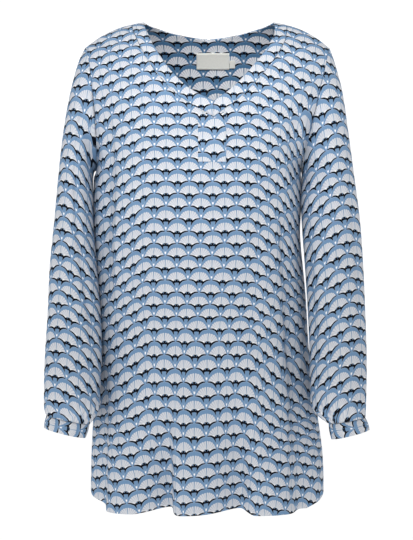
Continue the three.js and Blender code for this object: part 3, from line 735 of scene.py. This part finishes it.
FACE = {"Border": (0.158, 0.270, 0.428), "Outline": (0.003, 0.004, 0.008), "Heart": (0.60, 0.62, 0.65),
        "Rays": (0.30, 0.32, 0.46), "White": (0.86, 0.87, 0.89)}
REVERSE = {**FACE, "Border": (0.10, 0.20, 0.36)}
outside = printed_cloth("printed_crepe", FACE, 0.8, shift=(8.8, 9.4))
inside_front = printed_cloth("printed_crepe_reverse", REVERSE, 0.6, shift=(8.8, 9.4))


def trunk(face):
    return Vector((0, 0.018, face.calc_center_median().z))


def whole_panel(face, cells, creases, droop):
    """Both halves of a panel in one sheet, half a seam gap clear of the pieces beside it."""
    outwards = -1 if face == "front" else 1
    sheet = bmesh.new()
    for side in (RIGHT, LEFT):
        points, place = half_panel(side, face, *cells, creases)
        points[: cells[1], 0, 1] += outwards * SEAM_GAP / 2
        points[cells[1] :, 0, 0] -= side * SEAM_GAP / 2
        points[-1, :, 1] += outwards * SEAM_GAP / 2
        add_cells(sheet, points, lie(points, place, side, droop))
    return sheet


# Cells of a half panel: across, up to the underarm, and above it.
FRONT_CELLS = (84, 110, 76)
BACK_CELLS = (72, 90, 64)
bm = whole_panel("front", FRONT_CELLS, FRONT_CREASES, 1.0)
front_panel = cloth_piece("front_panel", bm, [outside, inside_front], trunk)
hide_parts("front_panel")
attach(front_panel, "root")

# ---- Back panel: one cut piece with a shallow scooped neck, meeting the front at shoulders and
# sides. Its reverse shows inside the neck, where the print is larger, deeper in colour and
# crisper.
BACK_CREASES = [
    {"top": (-60, -250), "bottom": (-96, -560), "before": 12, "after": 8, "deep": 3.0},
    {"top": (70, -220), "bottom": (88, -520), "before": 8, "after": 12, "deep": 3.0},
    {"top": (6, -330), "bottom": (-10, -700), "before": 14, "after": 9, "deep": 3.5},
    {"top": (-134, -140), "bottom": (-146, -280), "before": 3, "after": 6, "deep": 3.5},
    {"top": (118, -140), "bottom": (128, -290), "before": 6, "after": 3, "deep": 3.5},
    {"top": (-150, -150), "bottom": (-152, -270), "before": 2.5, "after": 4, "deep": 2.5},
    {"top": (132, -150), "bottom": (134, -280), "before": 4, "after": 2.5, "deep": 2.5},
    {"top": (-120, -420), "bottom": (-138, -690), "before": 6, "after": 9, "deep": 3.0},
    {"top": (110, -400), "bottom": (128, -700), "before": 9, "after": 6, "deep": 3.0},
    {"top": (40, -70), "bottom": (96, -190), "before": 9, "after": 9, "deep": 1.6},
    {"top": (-40, -80), "bottom": (-100, -200), "before": 9, "after": 9, "deep": 1.6},
]
INSIDE_BACK = {"Border": (0.085, 0.205, 0.370), "Outline": (0.004, 0.005, 0.010), "Heart": (0.86, 0.88, 0.91),
               "Rays": (0.34, 0.34, 0.50), "White": (0.93, 0.94, 0.95)}
inside_back = printed_cloth("printed_crepe_inside_back", INSIDE_BACK, 0.8, size=1.23, shift=(4, 8))
bm = whole_panel("back", BACK_CELLS, BACK_CREASES, 0.8)
back_panel = cloth_piece("back_panel", bm, [outside, inside_back], trunk)
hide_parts("back_panel")
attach(back_panel, "root")

# ---- Sleeves: each one a cut piece, set into the armhole, widening a little to the wrist and
# gathered into its cuff, over which it blouses. The seam runs under the arm.
SLEEVES = {
    RIGHT: [
        {"out": (-204, -60), "in": (-179.8, -238.5), "y": 9, "deep": 61},
        {"out": (-217, -109), "in": (-181.2, -245), "y": 3, "deep": 59},
        {"out": (-228, -173), "in": (-181.4, -258), "y": -4, "deep": 56},
        {"out": (-235, -240), "in": (-180, -280), "y": -14, "deep": 53},
        {"out": (-241, -317), "in": (-178.6, -330), "y": -26, "deep": 51},
        {"out": (-247, -390), "in": (-172.5, -395), "y": -40, "deep": 50},
        {"out": (-249, -460), "in": (-166, -462), "y": -52, "deep": 49},
        {"out": (-252, -522), "in": (-163.4, -524), "y": -64, "deep": 49},
        {"out": (-253, -576), "in": (-165, -578), "y": -74, "deep": 49},
        {"out": (-252, -604), "in": (-167, -610), "y": -78, "deep": 46},
        {"out": (-250, -616), "in": (-175, -626), "y": -79, "deep": 39},
        {"out": (-248, -621), "in": (-182, -635), "y": -79, "deep": 33},
    ],
    LEFT: [
        {"out": (205, -62), "in": (152.2, -239), "y": 9, "deep": 61},
        {"out": (217, -109), "in": (152.4, -246), "y": 3, "deep": 59},
        {"out": (226, -173), "in": (152.2, -258), "y": -4, "deep": 56},
        {"out": (234, -240), "in": (150, -280), "y": -15, "deep": 53},
        {"out": (243, -317), "in": (151.4, -330), "y": -26, "deep": 51},
        {"out": (247, -390), "in": (155.5, -395), "y": -40, "deep": 50},
        {"out": (249, -460), "in": (159, -462), "y": -52, "deep": 49},
        {"out": (250, -522), "in": (161, -524), "y": -64, "deep": 49},
        {"out": (249, -576), "in": (161.5, -578), "y": -74, "deep": 49},
        {"out": (247, -604), "in": (165, -610), "y": -78, "deep": 46},
        {"out": (246, -616), "in": (176, -624), "y": -79, "deep": 39},
        {"out": (246, -624), "in": (190, -634), "y": -79, "deep": 31},
    ],
}
# Creases along a sleeve: place round it in degrees (0 outer edge, 90 front, 180 towards the
# body) and height at the top and bottom end, half-widths in degrees, and depth.
SLEEVE_CREASES = {
    RIGHT: [
        {"top": (82, -60), "bottom": (88, -240), "before": 4, "after": 8, "deep": 3.5},
        {"top": (88, -210), "bottom": (108, -370), "before": 4, "after": 9, "deep": 4.0},
        {"top": (106, -330), "bottom": (137, -520), "before": 4, "after": 9, "deep": 4.0},
        {"top": (40, -250), "bottom": (58, -560), "before": 9, "after": 6, "deep": 2.5},
        {"top": (24, -90), "bottom": (32, -300), "before": 5, "after": 5, "deep": 1.6},
        {"top": (228, -90), "bottom": (252, -360), "before": 8, "after": 8, "deep": 3.5},
        {"top": (284, -230), "bottom": (262, -520), "before": 8, "after": 6, "deep": 3.0},
        {"top": (212, -330), "bottom": (224, -560), "before": 6, "after": 9, "deep": 3.0},
    ],
    LEFT: [
        {"top": (84, -50), "bottom": (92, -150), "before": 4, "after": 7, "deep": 3.5},
        {"top": (46, -225), "bottom": (44, -540), "before": 8, "after": 3.5, "deep": 3.5},
        {"top": (100, -150), "bottom": (118, -340), "before": 5, "after": 9, "deep": 3.0},
        {"top": (122, -330), "bottom": (96, -560), "before": 9, "after": 5, "deep": 3.0},
        {"top": (152, -300), "bottom": (146, -560), "before": 6, "after": 6, "deep": 2.0},
        {"top": (230, -100), "bottom": (250, -340), "before": 8, "after": 8, "deep": 3.5},
        {"top": (280, -240), "bottom": (264, -540), "before": 8, "after": 6, "deep": 3.0},
        {"top": (208, -340), "bottom": (222, -560), "before": 6, "after": 9, "deep": 3.0},
    ],
}
GATHERS = {"count": 21, "deep": 1.5, "from": -575}
SLEEVE_DROOP = {"peak": 52, "fall": 40}
SLEEVE_PRINT = {"start": 210, "stretch": 1.02, "oval_below": -170}


def ring(row, turn):
    (out_x, out_z), (in_x, in_z) = row["out"], row["in"]
    half = np.array([out_x - in_x, 0, out_z - in_z]) / 2
    middle = np.array([(out_x + in_x) / 2, row["y"], (out_z + in_z) / 2])
    across = np.cos(turn)[:, None] * half
    return middle + across + np.stack([turn * 0, -row["deep"] * np.sin(turn), turn * 0], axis=-1)


def through(rings, rows):
    """A smooth tube through rings of points, as evenly spaced rows."""
    steps = np.linalg.norm(np.diff(rings, axis=0), axis=-1).mean(axis=1)
    places = np.r_[0, np.cumsum(steps)]
    at = np.linspace(0, places[-1], rows + 1)
    flat = rings.reshape(len(rings), -1)
    tube = np.stack([curve(places, column)(at) for column in flat.T], axis=-1)
    return tube.reshape(rows + 1, rings.shape[1], 3)


def girth_walk(side, turn, x, z):
    """How far round each point lies from the sleeve's outer line, level at its own height, on
    the oval that the sleeve has there, or has below the armhole."""
    rows = SLEEVES[side][::-1]
    out_x = curve([row["out"][1] for row in rows], [abs(row["out"][0]) for row in rows])(z)
    rows = [row for row in rows if row["out"][1] < SLEEVE_PRINT["oval_below"]]
    level = [row["out"][1] for row in rows]
    z = np.minimum(z, level[-1])
    a = curve(level, [(abs(row["out"][0]) - abs(row["in"][0])) / 2 for row in rows])(z)
    b = curve(level, [row["deep"] / 2 for row in rows])(z)
    past = np.arccos(np.clip(1 - (out_x - abs(x)) / a, -1, 1))
    steps = [np.hypot(a * np.sin(past * t), b * np.cos(past * t)) for t in np.linspace(0.02, 0.98, 25)]
    return np.where(turn <= math.pi, 1, -1)[None, :] * past * np.mean(steps, axis=0)


def sleeve_points(side, round_, rows):
    turn = np.linspace(0, 2 * math.pi, round_ + 1)
    front_arm = np.stack(armhole(side, "front", turn), axis=-1)
    back_arm = np.stack(armhole(side, "back", 2 * math.pi - turn), axis=-1)
    first = np.where((turn <= math.pi)[:, None], front_arm, back_arm)
    first[:, 0] += side * SEAM_GAP * 1.6
    points = through(np.array([first] + [ring(row, turn) for row in SLEEVES[side]]), rows)
    middle = points[:, :-1].mean(axis=1, keepdims=True)
    out = points - middle
    out /= np.linalg.norm(out, axis=-1, keepdims=True)
    degrees = np.degrees(turn)[None, :]
    z = points[..., 2]
    depth = np.zeros_like(z)
    for c in SLEEVE_CREASES[side]:
        (top_at, top_z), (low_at, low_z) = c["top"], c["bottom"]
        t = (z - top_z) / (low_z - top_z)
        fade = ease(0, 0.25, t) * ease(1, 0.75, t)
        away = (degrees - (top_at + (low_at - top_at) * t) + 540) % 360 - 180
        off = away / np.where(away < 0, c["before"], c["after"])
        depth += c["deep"] * fade * np.exp(-off * off / 2)
    wave = np.sin(GATHERS["count"] * turn + 1.3 * np.sin(3 * turn) + side)[None, :]
    depth += GATHERS["deep"] * wave * ease(GATHERS["from"], -618, z)
    points = points - out * depth[..., None]
    points[:, -1] = points[:, 0]
    fall = SLEEVE_DROOP["fall"] * (1 - np.cos(turn - math.radians(SLEEVE_DROOP["peak"])))
    around = girth_walk(side, turn, points[..., 0], z)
    around = around - around[rows // 2, round_ // 4]
    along = z * SLEEVE_PRINT["stretch"] + fall[None, :]
    return points, np.stack([side * (SLEEVE_PRINT["start"] - around), along], axis=-1)


def sleeve_axis(side):
    rows = SLEEVES[side][::-1]
    level = [(row["out"][1] + row["in"][1]) / 2 for row in rows]
    mid_x = curve(level, [(row["out"][0] + row["in"][0]) / 2 for row in rows])
    mid_y = curve(level, [row["y"] for row in rows])

    def centre(face):
        c = face.calc_center_median()
        return Vector((float(mid_x(c.z * 1000)) / 1000, float(mid_y(c.z * 1000)) / 1000, c.z))

    return centre


for side, name in ((RIGHT, "right_sleeve"), (LEFT, "left_sleeve")):
    bm = bmesh.new()
    add_cells(bm, *sleeve_points(side, 120, 150))
    sleeve = cloth_piece(name, bm, [outside, inside_front], sleeve_axis(side))
    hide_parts(name)
    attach(sleeve, "root")

# ---- Cuffs: narrow bands of the same cloth folded double, cut with the print turned on its
# side, and puckered a little where the sleeve is gathered in.
CUFFS = {
    RIGHT: [
        {"out": (-248, -621), "in": (-182, -635), "y": -79, "deep": 31},
        {"out": (-252, -640), "in": (-188, -656), "y": -80, "deep": 31},
    ],
    LEFT: [
        {"out": (246, -624), "in": (190, -634), "y": -79, "deep": 29},
        {"out": (253, -643), "in": (194, -658), "y": -80, "deep": 30},
    ],
}
CUFF_DROP = 0.6
PUCKERS = {"count": 19, "deep": 0.45}
cuff_cloth = printed_cloth("printed_crepe_cuff", FACE, 0.6, size=0.9, turned=True, shift=(6, 9))
for side, name in ((RIGHT, "right_cuff"), (LEFT, "left_cuff")):
    turn = np.linspace(0, 2 * math.pi, 97)
    top, low = (ring(row, turn) for row in CUFFS[side])
    span = np.linspace(0, 1, 13)[:, None, None]
    points = top + (low - top) * span - np.array([0, 0, CUFF_DROP])
    middle = points[:, :-1].mean(axis=1, keepdims=True)
    out = (points - middle) / np.linalg.norm(points - middle, axis=-1, keepdims=True)
    crown = np.sin(span[..., 0] * math.pi)
    wave = np.sin(PUCKERS["count"] * turn + 1.1 * np.sin(4 * turn))[None, :]
    pucker = PUCKERS["deep"] * wave * (1 - 0.6 * span[..., 0])
    points = points + out * (crown + pucker)[..., None]
    points[:, -1] = points[:, 0]
    around = arc_lengths(points, 1)
    down = arc_lengths(points, 0)
    bm = bmesh.new()
    add_cells(bm, points, np.stack([around, -down], axis=-1))
    cuff = cloth_piece(name, bm, [cuff_cloth], sleeve_axis(side))
    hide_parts(name)
    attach(cuff, "root")

# ---- Neck bands: folded strips of the same cloth sewn round the V, each from its shoulder
# seam to the point of the V, where they meet over the placket.
band_cloth = printed_cloth("printed_crepe_band", FACE, 0.6, size=0.95, shift=(9, 13))
for side, name in ((RIGHT, "right_neck_band"), (LEFT, "left_neck_band")):
    inner, outer = band_edges(side)
    stations = np.arange(len(inner))
    k = np.linspace(0, len(inner) - 1, 91)[:, None]
    t = np.linspace(0, 1, 13)[None, :]
    edge = [curve(stations, e[:, c])(k) for e in (inner, outer) for c in (0, 1)]
    run = np.hypot(edge[2] - edge[0], edge[3] - edge[1])
    t_in = t * (1 - 1.6 * SEAM_GAP / run)
    x = edge[0] + (edge[2] - edge[0]) * t_in
    z = np.minimum(edge[1] + (edge[3] - edge[1]) * t_in, shoulder_z(x))
    x[-1] += side * SEAM_GAP / 2
    y = form_y(side, "front", x, z)
    y[0] -= SEAM_GAP / 2
    points = np.stack([x, y, z], axis=-1)
    points[..., 1] -= BAND["crown"] * np.sin(t * math.pi) ** 0.5 * np.clip(k / 3, 0, 1)
    bm = bmesh.new()
    add_cells(bm, points, np.stack([x * BAND["stretch"], climb("front", side, x, z)], axis=-1))
    band = cloth_piece(name, bm, [band_cloth], trunk)
    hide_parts(name)
    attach(band, "root")

# ---- Placket: a half placket lying on the front, which is whole under it, from under the bands
# to a squared lower end. Its free edge is on the wearer's left and stands a little proud.
PLACKET = {"right": -13, "left": 30, "bottom": -230, "top": -164, "slope": 0.62, "proud": 0.35}
placket_cloth = printed_cloth("printed_crepe_placket", FACE, 0.6, shift=(6.3, 21))
s = np.linspace(0, 1, 25)[None, :]
t = np.linspace(0, 1, 49)[:, None]
x = PLACKET["right"] + (PLACKET["left"] - PLACKET["right"]) * s + 0 * t
top = PLACKET["top"] + abs(x - NECK_EDGE[LEFT][-1][0]) * PLACKET["slope"]
z = PLACKET["bottom"] + (top - PLACKET["bottom"]) * t
y = np.where(x < 0, form_y(RIGHT, "front", x, z), form_y(LEFT, "front", x, z))
points = np.stack([x, y, z], axis=-1)
points[..., 1] -= PLACKET["proud"] + CLOTH + 0.8 * ease(0.75, 1, s) * ease(0.0, 0.25, t)
bm = bmesh.new()
add_cells(bm, points, np.stack([x, z], axis=-1))
placket = cloth_piece("placket", bm, [placket_cloth], trunk)
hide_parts("placket")
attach(placket, "root")

# ---- Labels: a bare woven satin label inside the back of the neck, caught at both ends, with
# a small bare size tab beside it.
LABEL = {"x": 10.5, "width": 54, "top": -41, "height": 25, "clear": 2.2}
SIZE_TAB = {"width": 9.5, "top": -52, "height": 12}
tape, _, tape_base = woven("label_tape", 0.2, thread=0.25)
tape_base.default_value = (0.90, 0.895, 0.83, 1)
tape.node_tree.nodes["Principled BSDF"].inputs["Roughness"].default_value = 0.55


def inside_label(name, left, right, top, height):
    s, t = np.linspace(0, 1, 25)[None, :], np.linspace(0, 1, 13)[:, None]
    x = left + (right - left) * s + 0 * t
    z = top - height * (1 - t) + 0 * s
    y = np.where(x < 0, form_y(RIGHT, "back", x, z), form_y(LEFT, "back", x, z))
    points = np.stack([x, y - CLOTH - LABEL["clear"] - 0.6 * np.sin(s * math.pi), z], axis=-1)
    bm = bmesh.new()
    add_cells(bm, points, np.stack([x, z], axis=-1))
    label = cloth_piece(name, bm, [tape], lambda f: Vector((0, 0.2, f.calc_center_median().z)), 0.9)
    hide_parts(name)
    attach(label, "root")
    return label


label_right = LABEL["x"] + LABEL["width"] / 2
label_left = LABEL["x"] - LABEL["width"] / 2
neck_label = inside_label("neck_label", label_left, label_right, LABEL["top"], LABEL["height"])
size_tab = inside_label(
    "size_tab", label_right + SEAM_GAP, label_right + SIZE_TAB["width"], SIZE_TAB["top"], SIZE_TAB["height"]
)
